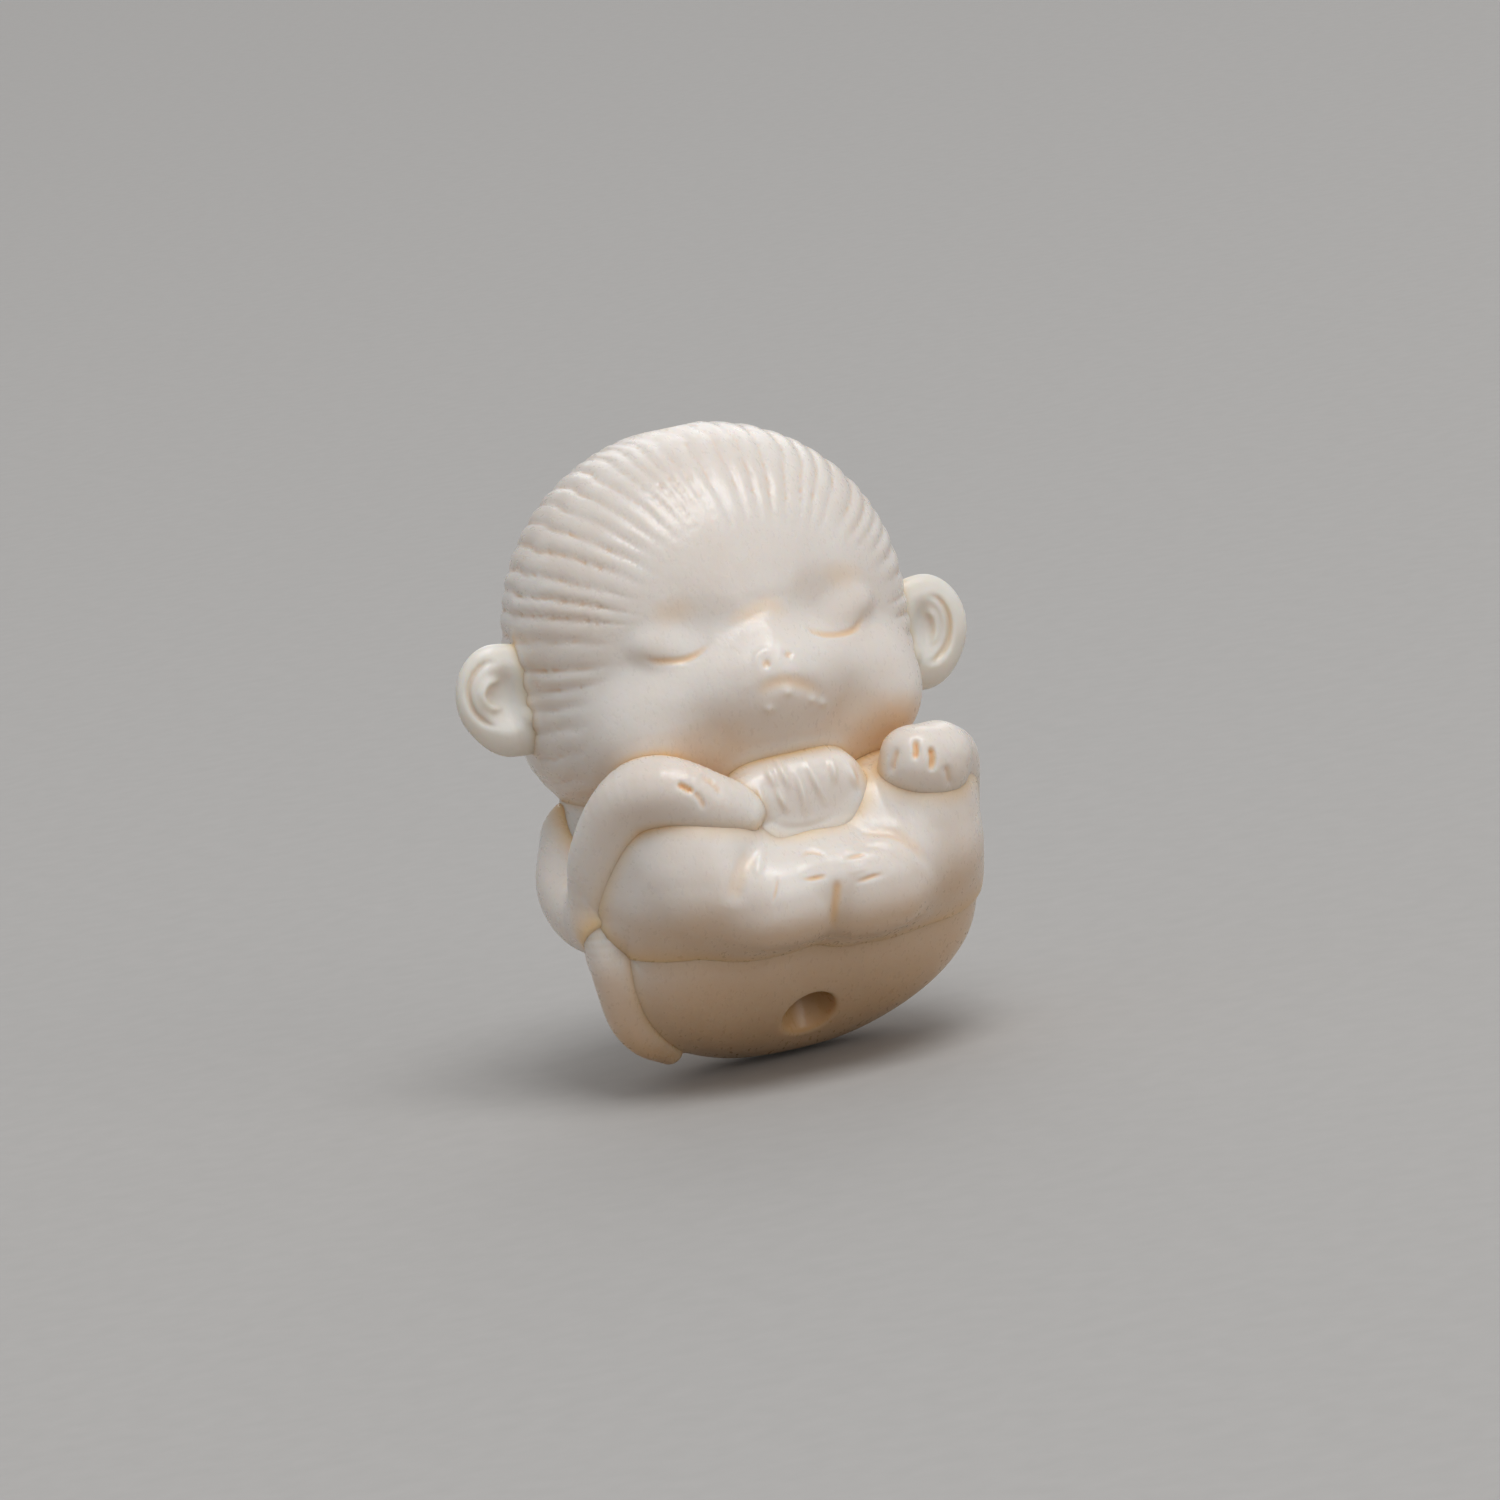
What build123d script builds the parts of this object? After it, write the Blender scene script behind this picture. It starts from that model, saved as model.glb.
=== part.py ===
from build123d import *
from math import cos, pi, radians, sin
import os

# Sleeping baby monkey, a carved stringing bead, in millimetres.
# It faces -Y, its own left side is +X, and the flat that it sits on is at z = 0.
# Every node is one carved mass, cut so that it lies face to face with its neighbours.

# Levels
seat_height = 4.6
body_height = 5.8
neck_level = seat_height + body_height
cut_overrun = 2.0

# Knife facets round a form, and stations along it
fine_facets = 24
form_facets = 12
small_facets = 10
trim_facets = 8
pebble_station_shares = (-0.97, -0.72, 0.0, 0.72, 0.97)
limb_end_share = 0.35

# Head: a ball over a squarer jaw
head_half_width = 7.05
head_half_depth = 5.95
head_setback = 0.25
crown_height = 6.95
jaw_height = 4.8
jaw_reach = 5.8
crown_power = 2.05
jaw_power = 3.5
jaw_taper = 0.3
head_level = neck_level + jaw_height

# Hair: locks combed straight back from the face
lock_count = 25
lock_depth = 0.26
hair_step = 0.12
hairline_forward = 3.8
hairline_lean = 11.5
hood_station_shares = (-0.87, -0.6, -0.2, 0.3, 0.66, 0.9, 0.99)
face_station_shares = (-0.42, -0.62, -0.8, -0.93)

# Face
brow_half_sizes = (5.2, 2.2, 1.7)
brow_forward_share = 1.16
brow_rise_share = 0.072
eyelid_half_sizes = (1.2, 0.6, 0.62)
eyelid_spacing_share = 0.426
eyelid_forward_share = 0.793
eyelid_drop_share = 0.02
cheek_half_sizes = (2.2, 2.2, 2.0)
cheek_spacing_share = 0.525
cheek_forward_share = 0.54
cheek_drop_share = 0.58
muzzle_half_sizes = (3.4, 2.75, 2.1)
muzzle_forward_share = 0.69
muzzle_drop_share = 0.396
nostril_radius = 0.22
nostril_spacing = 0.84
nostril_rise = 1.18
lips_half_sizes = (1.3, 0.32, 0.32)
lips_drop = 0.2

# Ears
ear_half_width = 1.4
ear_half_height = 1.95
ear_thickness = 1.1
ear_rim = 0.4
ear_dish_depth = 0.5
ear_back_share = 0.6
ear_dish_share = 0.5
ear_stand_out = 0.95
ear_setback = 0.1
ear_drop = 1.2
ear_center = (head_half_width + ear_stand_out, ear_setback, head_level - ear_drop)

# Body
torso_half_width = 6.2
torso_half_depth = 5.4
torso_setback = 0.6
torso_level_shares = (0.42, 1.0)
torso_size_shares = (1.0, 0.82)

# Seat: levels with half width, reach to the front and reach to the back
seat_half_width = 6.65
seat_front = 6.2
seat_back = 4.4
seat_power = 2.4
seat_taper = 0.12
seat_level_shares = (0.0, 0.1, 0.25, 0.46, 0.7, 1.0)
seat_width_shares = (0.33, 0.49, 0.67, 0.84, 0.95, 1.0)
seat_front_shares = (0.27, 0.39, 0.51, 0.67, 0.855, 1.0)
seat_back_shares = (0.43, 0.58, 0.74, 0.88, 0.97, 1.0)

# Legs and feet
leg_half_width = 2.7
leg_half_depth = 3.4
leg_spacing_share = 0.606
leg_forward_share = 0.785
leg_rise_share = 0.49
foot_half_width = 2.5
foot_half_depth = 2.35
foot_spacing_share = 0.242
foot_forward_share = 1.13
foot_rise_share = 0.31
foot_height_share = 0.295
toe_slit_width = 0.14
toe_slit_depth = 0.3
toe_slit_length = 1.1
toe_slit_rise_shares = (0.22, 0.6)

# Arms: places of the shoulder, upper arm, elbow, forearm and wrist on the body, with their radii
arm_spacing_shares = (0.919, 0.984, 1.024, 1.048, 0.903)
arm_forward_shares = (-0.259, -0.074, 0.333, 0.611, 0.944)
arm_rise_shares = (0.69, 0.466, 0.345, 0.69, 0.98)
shoulder_radius = 1.2
upper_arm_radius = 1.5
elbow_radius = 1.25
forearm_radius = 1.05
wrist_radius = 1.05
hand_half_sizes = (1.7, 1.25, 1.15)
hand_spacing_share = 0.677
hand_forward_share = 1.19
hand_rise_share = 0.975
hand_turn = (0, 12, 20)
finger_slit_width = 0.12
finger_slit_depth = 0.25
finger_pitch = 0.72
finger_slits = 3

# Tuft of fur under the chin
tuft_half_width = 2.4
tuft_half_depth = 1.2
tuft_forward_share = 1.13
tuft_rise_share = 0.845
tuft_height_share = 0.3
tuft_rib_count = 6
tuft_rib_pitch = 0.6
tuft_groove_width = 0.2
tuft_groove_depth = 0.2

# Tail, laid round the right side of the rump
tail_radius = 0.7
tail_width_shares = (0.97, 0.965, 0.9, 0.72)
tail_front_shares = (0.46, 0.44, 0.35, 0.2)
tail_level_shares = (1.43, 1.02, 0.59, 0.28)

# Bore for the cord, from the lower front of the seat to the crown
bore_radius = 0.95
bore_mouth_front_share = 0.565
bore_mouth_level_share = 0.337
bore_lean = 13.5


def oval(half_width, half_height, facets, power=2.0, taper=0.0):
    """Points round an oval; a power over 2 squares it, and a taper narrows its far side."""
    points = []
    for index in range(facets):
        angle = 2 * pi * (index + 0.5) / facets
        across, rise = cos(angle), sin(angle)
        radius = (abs(across) ** power + abs(rise) ** power) ** (-1 / power)
        narrowing = 1 - taper * radius * rise
        points.append((half_width * radius * across * narrowing, half_height * radius * rise))
    return points


def stack(planes, outlines):
    """A solid lofted through closed outlines, each on its own plane."""
    with BuildPart() as form:
        for plane, outline in zip(planes, outlines):
            with BuildSketch(plane):
                with BuildLine():
                    Polyline(*outline, close=True)
                make_face()
        loft()
    return form.part


def pebble(half_sizes, center, facets, turn=(0, 0, 0)):
    """A rounded pebble with three half sizes, turned, and set at its centre."""
    half_width, half_depth, half_height = half_sizes
    planes = []
    outlines = []
    for share in pebble_station_shares:
        fullness = (1 - share * share) ** 0.5
        station = (share * half_width, 0, 0)
        planes.append(Plane(origin=station, x_dir=(0, 1, 0), z_dir=(1, 0, 0)))
        outlines.append(oval(half_depth * fullness, half_height * fullness, facets))
    return Location(center, turn) * stack(planes, outlines)


def limb(points, radii, facets):
    """A rounded limb through points, with a radius at each and both ends drawn in."""
    places = [Vector(*point) for point in points]
    first_run = (places[0] - places[1]).normalized()
    last_run = (places[-1] - places[-2]).normalized()
    places = [places[0] + first_run * radii[0], *places, places[-1] + last_run * radii[-1]]
    radii = [radii[0] * limb_end_share, *radii, radii[-1] * limb_end_share]
    planes = []
    outlines = []
    for index, (place, radius) in enumerate(zip(places, radii)):
        before = places[max(index - 1, 0)]
        after = places[min(index + 1, len(places) - 1)]
        planes.append(Plane(origin=place, x_dir=(1, 0, 0), z_dir=after - before))
        outlines.append(oval(radius, radius, facets))
    return stack(planes, outlines)


def head_ring(share, count, ripple=0.0, inset=0.0):
    """Points (x, z) round the head at one share of its half depth."""
    fullness = (1 - share * share) ** 0.5
    points = []
    for index in range(count):
        angle = 2 * pi * (index + 0.5) / count
        across, rise = cos(angle), sin(angle)
        power = crown_power if rise > 0 else jaw_power
        reach = crown_height * fullness if rise > 0 else jaw_reach * fullness**jaw_taper
        width = head_half_width * fullness
        radius = (abs(across / width) ** power + abs(rise / reach) ** power) ** (-1 / power)
        radius += ripple * fullness * (0.5 if index % 2 else -0.5) - inset
        points.append((radius * across, head_level + radius * rise))
    return points


def station_plane(share):
    """A plane square to Y at one share of the head's half depth."""
    station = (0, head_setback + share * head_half_depth, 0)
    return Plane(origin=station, x_dir=(1, 0, 0), z_dir=(0, -1, 0))


def level_plane(level, setback=0.0):
    """A level plane with its own origin set back."""
    return Plane(origin=(0, setback, level), z_dir=(0, 0, 1))


def on_head(spacing, forward, rise):
    """A place on the head, from shares of its half width, half depth and crown height."""
    return (spacing * head_half_width, -forward * head_half_depth, head_level + rise * crown_height)


def on_body(spacing, forward, rise):
    """A place on the body, from shares of the torso's half width and half depth and its height."""
    level = seat_height + rise * body_height
    return (spacing * torso_half_width, -forward * torso_half_depth, level)


def cut_by(*neighbours):
    """Takes the neighbours out of the part being built, so that both lie face to face."""
    for neighbour in neighbours:
        add(neighbour.part, mode=Mode.SUBTRACT)


neck_plane = level_plane(neck_level)
hairline_plane = Plane(
    origin=(0, -hairline_forward, head_level),
    z_dir=(0, -cos(radians(hairline_lean)), -sin(radians(hairline_lean))),
)

# Bore: the tool that opens the seat, the torso and the hood
bore_run = head_level + crown_height + cut_overrun
bore_direction = Vector(0, sin(radians(bore_lean)), cos(radians(bore_lean)))
mouth_depth = bore_mouth_front_share * seat_front
mouth_level = bore_mouth_level_share * seat_height
bore_start = Vector(0, -mouth_depth, mouth_level) - bore_direction * cut_overrun
with BuildPart() as bore:
    with BuildSketch(Plane(origin=bore_start, z_dir=bore_direction)):
        Circle(bore_radius)
    extrude(amount=bore_run)

# Hands, with slits between the fingers
hand_center = on_body(hand_spacing_share, hand_forward_share, hand_rise_share)
with BuildPart() as hand_left:
    add(pebble(hand_half_sizes, hand_center, trim_facets, hand_turn))
    slit_plane = Plane(Location(hand_center, hand_turn)).offset(-cut_overrun)
    with BuildSketch(slit_plane):
        with Locations((0, finger_slit_depth - hand_half_sizes[1])):
            with GridLocations(finger_pitch, 0, finger_slits, 1):
                Rectangle(finger_slit_width, cut_overrun, align=(Align.CENTER, Align.MAX))
    extrude(amount=2 * cut_overrun, mode=Mode.SUBTRACT)

with BuildPart() as hand_right:
    mirror(hand_left.part, about=Plane.YZ)

# Tuft, with combed ribs on its front
tuft_center = on_body(0, tuft_forward_share, tuft_rise_share)
tuft_half_height = tuft_height_share * body_height
with BuildPart() as chest_tuft:
    add(pebble((tuft_half_width, tuft_half_depth, tuft_half_height), tuft_center, form_facets))
    with BuildSketch(Plane(tuft_center)):
        with Locations((0, tuft_groove_depth - tuft_half_depth)):
            with GridLocations(tuft_rib_pitch, 0, tuft_rib_count, 1):
                Rectangle(tuft_groove_width, cut_overrun, align=(Align.CENTER, Align.MAX))
    extrude(amount=tuft_half_height, mode=Mode.SUBTRACT)

# Arms, bent at the elbow
arm_points = [
    on_body(spacing, forward, rise)
    for spacing, forward, rise in zip(arm_spacing_shares, arm_forward_shares, arm_rise_shares)
]
arm_radii = (shoulder_radius, upper_arm_radius, elbow_radius, forearm_radius, wrist_radius)
with BuildPart() as arm_left:
    add(limb(arm_points, arm_radii, small_facets))
    cut_by(hand_left)

with BuildPart() as arm_right:
    mirror(arm_left.part, about=Plane.YZ)

# Feet, sole to sole, with slits between the toes
foot_center = on_body(foot_spacing_share, foot_forward_share, foot_rise_share)
foot_half_height = foot_height_share * body_height
with BuildPart() as foot_left:
    add(pebble((foot_half_width, foot_half_depth, foot_half_height), foot_center, form_facets))
    split(bisect_by=Plane.YZ, keep=Keep.TOP)
    toe_floor = foot_center[1] - foot_half_depth + toe_slit_depth
    for rise in toe_slit_rise_shares:
        slit_level = foot_center[2] + rise * foot_half_height
        with BuildSketch(Plane(origin=(0, toe_floor, slit_level), z_dir=(0, -1, 0))):
            Rectangle(2 * toe_slit_length, toe_slit_width)
        extrude(amount=cut_overrun, mode=Mode.SUBTRACT)
    cut_by(chest_tuft)

with BuildPart() as foot_right:
    mirror(foot_left.part, about=Plane.YZ)

# Drawn-up legs
leg_center = on_body(leg_spacing_share, leg_forward_share, leg_rise_share)
with BuildPart() as leg_left:
    add(pebble((leg_half_width, leg_half_depth, body_height / 2), leg_center, form_facets))
    cut_by(foot_left, hand_left, arm_left, chest_tuft)

# Tail
tail_points = [
    (-width * seat_half_width, -front * seat_front, level * seat_height)
    for width, front, level in zip(tail_width_shares, tail_front_shares, tail_level_shares)
]
with BuildPart() as tail:
    add(limb(tail_points, [tail_radius] * len(tail_points), small_facets))
    cut_by(arm_right)

with BuildPart() as leg_right:
    mirror(leg_left.part, about=Plane.YZ)
    cut_by(tail)

# Ears: dished ovals
ear_plane = Plane(origin=ear_center, x_dir=(1, 0, 0), z_dir=(0, -1, 0))
ear_front = ear_plane.offset(ear_thickness / 2)
ear_back = ear_plane.offset(-ear_thickness / 2)
dish_width = ear_half_width - ear_rim
dish_height = ear_half_height - ear_rim
with BuildPart() as ear_left:
    ear_outline = oval(ear_half_width, ear_half_height, form_facets)
    back_outline = oval(
        ear_back_share * ear_half_width, ear_back_share * ear_half_height, form_facets
    )
    rim_outline = oval(ear_half_width - ear_rim / 2, ear_half_height - ear_rim / 2, form_facets)
    add(stack((ear_back, ear_plane, ear_front), (back_outline, ear_outline, rim_outline)))
    dish_outline = oval(dish_width, dish_height, form_facets)
    floor_outline = oval(ear_dish_share * dish_width, ear_dish_share * dish_height, form_facets)
    dish_floor = ear_front.offset(-ear_dish_depth)
    add(stack((dish_floor, ear_front), (floor_outline, dish_outline)), mode=Mode.SUBTRACT)

with BuildPart() as ear_right:
    mirror(ear_left.part, about=Plane.YZ)

# Face: the smooth front of the head, with brows, closed lids, cheeks, muzzle and lips
brow_center = on_head(0, brow_forward_share, brow_rise_share)
eyelid_center = on_head(eyelid_spacing_share, eyelid_forward_share, -eyelid_drop_share)
cheek_center = on_head(cheek_spacing_share, cheek_forward_share, 0)
cheek_center = (cheek_center[0], cheek_center[1], head_level - cheek_drop_share * jaw_height)
muzzle_center = (0, -muzzle_forward_share * head_half_depth, head_level - muzzle_drop_share * jaw_height)
muzzle_front = muzzle_center[1] - muzzle_half_sizes[1]
lips_center = (0, muzzle_front, muzzle_center[2] - lips_drop)
nostril_share = nostril_rise / muzzle_half_sizes[2]
nostril_front = muzzle_center[1] - muzzle_half_sizes[1] * (1 - nostril_share**2) ** 0.5
face_planes = [station_plane(share) for share in face_station_shares]
face_outlines = [head_ring(share, fine_facets, inset=hair_step) for share in face_station_shares]
with BuildPart() as face:
    add(stack(face_planes, face_outlines))
    add(pebble(brow_half_sizes, brow_center, form_facets), mode=Mode.SUBTRACT)
    lid = pebble(eyelid_half_sizes, eyelid_center, trim_facets)
    cheek = pebble(cheek_half_sizes, cheek_center, small_facets)
    add([lid, mirror(lid, about=Plane.YZ, mode=Mode.PRIVATE)])
    add([cheek, mirror(cheek, about=Plane.YZ, mode=Mode.PRIVATE)])
    add(pebble(muzzle_half_sizes, muzzle_center, form_facets))
    split(bisect_by=hairline_plane, keep=Keep.TOP)
    split(bisect_by=neck_plane, keep=Keep.TOP)
    add(pebble(lips_half_sizes, lips_center, trim_facets))
    with Locations((0, nostril_front, muzzle_center[2] + nostril_rise)):
        with GridLocations(nostril_spacing, 0, 2, 1):
            Sphere(nostril_radius, mode=Mode.SUBTRACT)
    cut_by(chest_tuft, hand_left, hand_right, arm_left, arm_right)

# Hair hood: fluted by the locks, which run back from the face to the nape
hood_planes = [station_plane(share) for share in hood_station_shares]
hood_outlines = [head_ring(share, 2 * lock_count, lock_depth) for share in hood_station_shares]
with BuildPart() as hair_hood:
    add(stack(hood_planes, hood_outlines))
    split(bisect_by=hairline_plane, keep=Keep.BOTTOM)
    split(bisect_by=neck_plane, keep=Keep.TOP)
    cut_by(ear_left, ear_right, bore)

# Seat: a shallow bowl with a flat under it
seat_planes = []
seat_outlines = []
for level, width, front, back in zip(
    seat_level_shares, seat_width_shares, seat_front_shares, seat_back_shares
):
    reach_front = front * seat_front
    reach_back = back * seat_back
    seat_planes.append(level_plane(level * seat_height, (reach_back - reach_front) / 2))
    half_depth = (reach_front + reach_back) / 2
    seat_outlines.append(
        oval(width * seat_half_width, half_depth, fine_facets, seat_power, seat_taper)
    )
with BuildPart() as seat:
    add(stack(seat_planes, seat_outlines))
    cut_by(tail, bore)

# Torso: it starts on the seat's rim and narrows to the neck
torso_planes = [seat_planes[-1]]
torso_outlines = [seat_outlines[-1]]
for level, size in zip(torso_level_shares, torso_size_shares):
    torso_planes.append(level_plane(seat_height + level * body_height, torso_setback))
    torso_outlines.append(oval(size * torso_half_width, size * torso_half_depth, fine_facets))
with BuildPart() as torso:
    add(stack(torso_planes, torso_outlines))
    cut_by(leg_left, leg_right, foot_left, foot_right)
    cut_by(arm_left, arm_right, tail, bore)

nodes = {
    "hair_hood": hair_hood,
    "face": face,
    "ear_left": ear_left,
    "ear_right": ear_right,
    "torso": torso,
    "seat": seat,
    "chest_tuft": chest_tuft,
    "arm_left": arm_left,
    "arm_right": arm_right,
    "hand_left": hand_left,
    "hand_right": hand_right,
    "leg_left": leg_left,
    "leg_right": leg_right,
    "foot_left": foot_left,
    "foot_right": foot_right,
    "tail": tail,
}

os.makedirs("parts", exist_ok=True)
for name, node in nodes.items():
    node.part.label = name
    export_step(node.part, f"parts/{name}.step")
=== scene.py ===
"""Sleeping baby monkey, carved as a stringing bead from one tagua nut, on a pale floor.

Each carved mass is blanked out from spheres, fused by a voxel remesh, and then its points
are drawn onto a smooth form that the masses share. Knife strokes, locks, ribs, slits and
the bore are cut into that surface. Everything is worked out in millimetres and scaled to
metres last, in the frame of the solids.
"""

import logging
import math
from dataclasses import dataclass, field, replace
from enum import Enum
from typing import Callable, Sequence

import bmesh
import bpy
import numpy as np
from mathutils import Matrix, Vector


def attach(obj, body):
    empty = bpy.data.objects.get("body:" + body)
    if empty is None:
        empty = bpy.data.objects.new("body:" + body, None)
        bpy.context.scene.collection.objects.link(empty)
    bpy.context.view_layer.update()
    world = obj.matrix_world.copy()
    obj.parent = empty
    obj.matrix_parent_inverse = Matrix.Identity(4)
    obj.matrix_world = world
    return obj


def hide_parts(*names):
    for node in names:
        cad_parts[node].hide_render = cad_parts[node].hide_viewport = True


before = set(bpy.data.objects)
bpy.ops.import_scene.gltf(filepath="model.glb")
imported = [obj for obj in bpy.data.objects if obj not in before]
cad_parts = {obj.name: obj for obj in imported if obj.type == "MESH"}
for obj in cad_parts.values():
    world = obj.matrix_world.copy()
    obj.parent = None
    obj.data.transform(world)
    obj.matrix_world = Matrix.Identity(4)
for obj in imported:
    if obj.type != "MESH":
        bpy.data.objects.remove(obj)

LOG = logging.getLogger("monkey")
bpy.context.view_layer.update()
MM = 0.001
TINY = 1e-9
FAR = 1e9
Array = np.ndarray
Point = tuple[float, float, float]
Pixel = tuple[float, float]


# Measuring


def step(low: float, high: float, value: Array) -> Array:
    """A smooth rise from 0 at low to 1 at high."""
    share = np.clip((value - low) / (high - low), 0.0, 1.0)
    return share * share * (3.0 - 2.0 * share)


def union(first: Array, second: Array, blend: float | Array) -> Array:
    """Joins two forms, with a hollow of that blend where they meet."""
    reach = np.maximum(blend - np.abs(first - second), 0.0)
    return np.minimum(first, second) - reach * reach / (4.0 * np.maximum(blend, TINY))


def without(first: Array, second: Array, blend: float) -> Array:
    """Takes the second form out of the first, with a softened edge."""
    return -union(-first, second, blend)


WAVE_RATES = (1.0, 1.73, 2.71, 4.37)
WAVE_SHIFT = 1.3
WAVE_HEIGHT = 2.6
SCATTER_RATES = (12.9898, 4.1414)


def wavering(value: Array, seed: float) -> Array:
    """A slow waver between about -1 and 1, the same in each run."""
    total = sum(
        np.sin(rate * value + seed * (WAVE_SHIFT + rate)) / rate**0.5 for rate in WAVE_RATES
    )
    return total / WAVE_HEIGHT


def scattered(number: Array) -> Array:
    """A value between -1 and 1 for each whole number, the same in each run."""
    first, second = SCATTER_RATES
    return 0.5 * np.sin(number * first) + 0.5 * np.sin(number * second + 1.0)


def smooth_path(points: Sequence[Sequence[float]], cuts: int) -> Array:
    """Points on a smooth curve through the given ones.

    Args:
        points: The places that the curve passes through.
        cuts: How many points each span gets.

    Returns:
        The curve's points, one row each.
    """
    knots = np.asarray(points, float)
    ends = np.vstack([2 * knots[0] - knots[1], knots, 2 * knots[-1] - knots[-2]])
    rows = []
    for index in range(len(knots) - 1):
        before, start, end, after = ends[index : index + 4]
        for share in np.arange(cuts) / cuts:
            slope = (end - before) / 2
            leave = (after - start) / 2
            cube, square = share**3, share**2
            rows.append(
                (2 * cube - 3 * square + 1) * start
                + (cube - 2 * square + share) * slope
                + (3 * square - 2 * cube) * end
                + (cube - square) * leave
            )
    rows.append(knots[-1])
    return np.array(rows)


@dataclass(frozen=True)
class Viewpoint:
    """Where the photograph was taken from, in millimetres and degrees."""

    azimuth: float = -20.0
    elevation: float = 8.5
    roll: float = 9.5
    target: Point = (0.635, -0.231, 10.62)
    distance: float = 320.0
    focal_pixels: float = 9280.0
    frame_pixels: float = 1500.0
    sensor: float = 36.0

    def axes(self) -> tuple[Array, Array, Array]:
        """The camera's right, up and back directions."""
        turn, lift, lean = (math.radians(a) for a in (self.azimuth, self.elevation, self.roll))
        back = np.array(
            [math.sin(turn) * math.cos(lift), -math.cos(turn) * math.cos(lift), math.sin(lift)]
        )
        right = np.array([math.cos(turn), math.sin(turn), 0.0])
        level_up = np.cross(back, right)
        across = right * math.cos(lean) - level_up * math.sin(lean)
        return across, right * math.sin(lean) + level_up * math.cos(lean), back

    def pixels(self, points: Array) -> Array:
        """Where points of the figure stand in the photograph, in its pixels."""
        across, up, back = self.axes()
        offset = points - np.array(self.target)
        scale = self.focal_pixels / (self.distance - offset @ back)
        middle = self.frame_pixels / 2
        return np.stack([middle + scale * (offset @ across), middle - scale * (offset @ up)], 1)

    def place_camera(self) -> None:
        """Creates the camera at this viewpoint and makes it the scene's."""
        across, up, back = self.axes()
        data = bpy.data.cameras.new("camera")
        data.sensor_width = self.sensor
        data.lens = self.sensor * self.focal_pixels / self.frame_pixels
        data.clip_start, data.clip_end = 0.01, 20.0
        camera = bpy.data.objects.new("camera", data)
        spot = (np.array(self.target) + self.distance * back) * MM
        rows = [[across[i], up[i], back[i], spot[i]] for i in range(3)]
        camera.matrix_world = Matrix([*rows, [0, 0, 0, 1]])
        bpy.context.scene.collection.objects.link(camera)
        bpy.context.scene.camera = camera


VIEW = Viewpoint()


# Masses


LUMP_SPLITS = 4
BALL_SPLITS = 3
DRILL_SIDES = 48


@dataclass(frozen=True)
class Lump:
    """A rounded mass with its own reach each way; powers over 2 make it squarer."""

    center: Point
    half_width: float
    front: float
    back: float
    up: float
    down: float
    plan_power: float = 2.0
    up_power: float = 2.0
    down_power: float = 2.0
    turn: Point = (0.0, 0.0, 0.0)

    def level(self, local: Array) -> Array:
        """How far out points lie, as a share of the mass's own reach.

        Args:
            local: Points along the mass's own axes, from its centre.

        Returns:
            1 on the surface, less inside and more outside.
        """
        depth = np.where(local[:, 1] < 0, self.front, self.back)
        height = np.where(local[:, 2] > 0, self.up, self.down)
        power = np.where(local[:, 2] > 0, self.up_power, self.down_power)
        plan = (
            np.abs(local[:, 0] / self.half_width) ** self.plan_power
            + np.abs(local[:, 1] / depth) ** self.plan_power
        ) ** (1 / self.plan_power)
        return (plan**power + np.abs(local[:, 2] / height) ** power) ** (1 / power)

    def turned(self) -> Array:
        """The rotation from the mass's own axes to the figure's."""
        x, y, z = (math.radians(angle) for angle in self.turn)
        rotation = Matrix.Rotation(z, 3, "Z") @ Matrix.Rotation(y, 3, "Y")
        return np.array(rotation @ Matrix.Rotation(x, 3, "X"))

    def distance(self, points: Array) -> Array:
        """About how far points lie outside the mass; negative inside."""
        local = (points - np.array(self.center)) @ self.turned()
        away = np.linalg.norm(local, axis=1) + TINY
        return away * (1.0 - 1.0 / np.maximum(self.level(local), TINY))

    def rough_out(self, blank: bmesh.types.BMesh) -> None:
        """Adds the mass to a blank."""
        made = bmesh.ops.create_icosphere(blank, subdivisions=LUMP_SPLITS, radius=1.0)["verts"]
        places = np.array([vertex.co for vertex in made])
        places = places / self.level(places)[:, None]
        places = places @ self.turned().T + np.array(self.center)
        for vertex, place in zip(made, places):
            vertex.co = place

    def mirrored(self) -> "Lump":
        """The same mass on the figure's other side."""
        x, y, z = self.center
        tilt, lean, twist = self.turn
        return replace(self, center=(-x, y, z), turn=(tilt, -lean, -twist))


def pebble(center: Point, half_sizes: Point, turn: Point = (0.0, 0.0, 0.0)) -> Lump:
    """An egg-like mass with one half size each way."""
    width, depth, height = half_sizes
    return Lump(center, width, depth, depth, height, height, turn=turn)


@dataclass(frozen=True)
class Limb:
    """A rounded limb: points (x, y, z, radius) along its middle."""

    points: tuple[tuple[float, float, float, float], ...]
    cuts: int = 6

    def distance(self, points: Array) -> Array:
        """About how far points lie outside the limb; negative inside."""
        path = smooth_path(self.points, self.cuts)
        nearest = np.full(len(points), FAR)
        for start, end in zip(path[:-1], path[1:]):
            run = end[:3] - start[:3]
            offset = points - start[:3]
            share = np.clip(offset @ run / max(run @ run, TINY), 0.0, 1.0)
            away = np.linalg.norm(offset - share[:, None] * run, axis=1)
            nearest = np.minimum(nearest, away - start[3] - share * (end[3] - start[3]))
        return nearest

    def rough_out(self, blank: bmesh.types.BMesh) -> None:
        """Adds the limb to a blank, as a string of balls."""
        for x, y, z, radius in smooth_path(self.points, self.cuts):
            place = Matrix.Translation((x, y, z))
            bmesh.ops.create_icosphere(
                blank, subdivisions=BALL_SPLITS, radius=radius, matrix=place
            )

    def mirrored(self) -> "Limb":
        """The same limb on the figure's other side."""
        return Limb(tuple((-x, y, z, radius) for x, y, z, radius in self.points), self.cuts)


Mass = Lump | Limb
Masses = tuple[tuple[Mass, float], ...]


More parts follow.
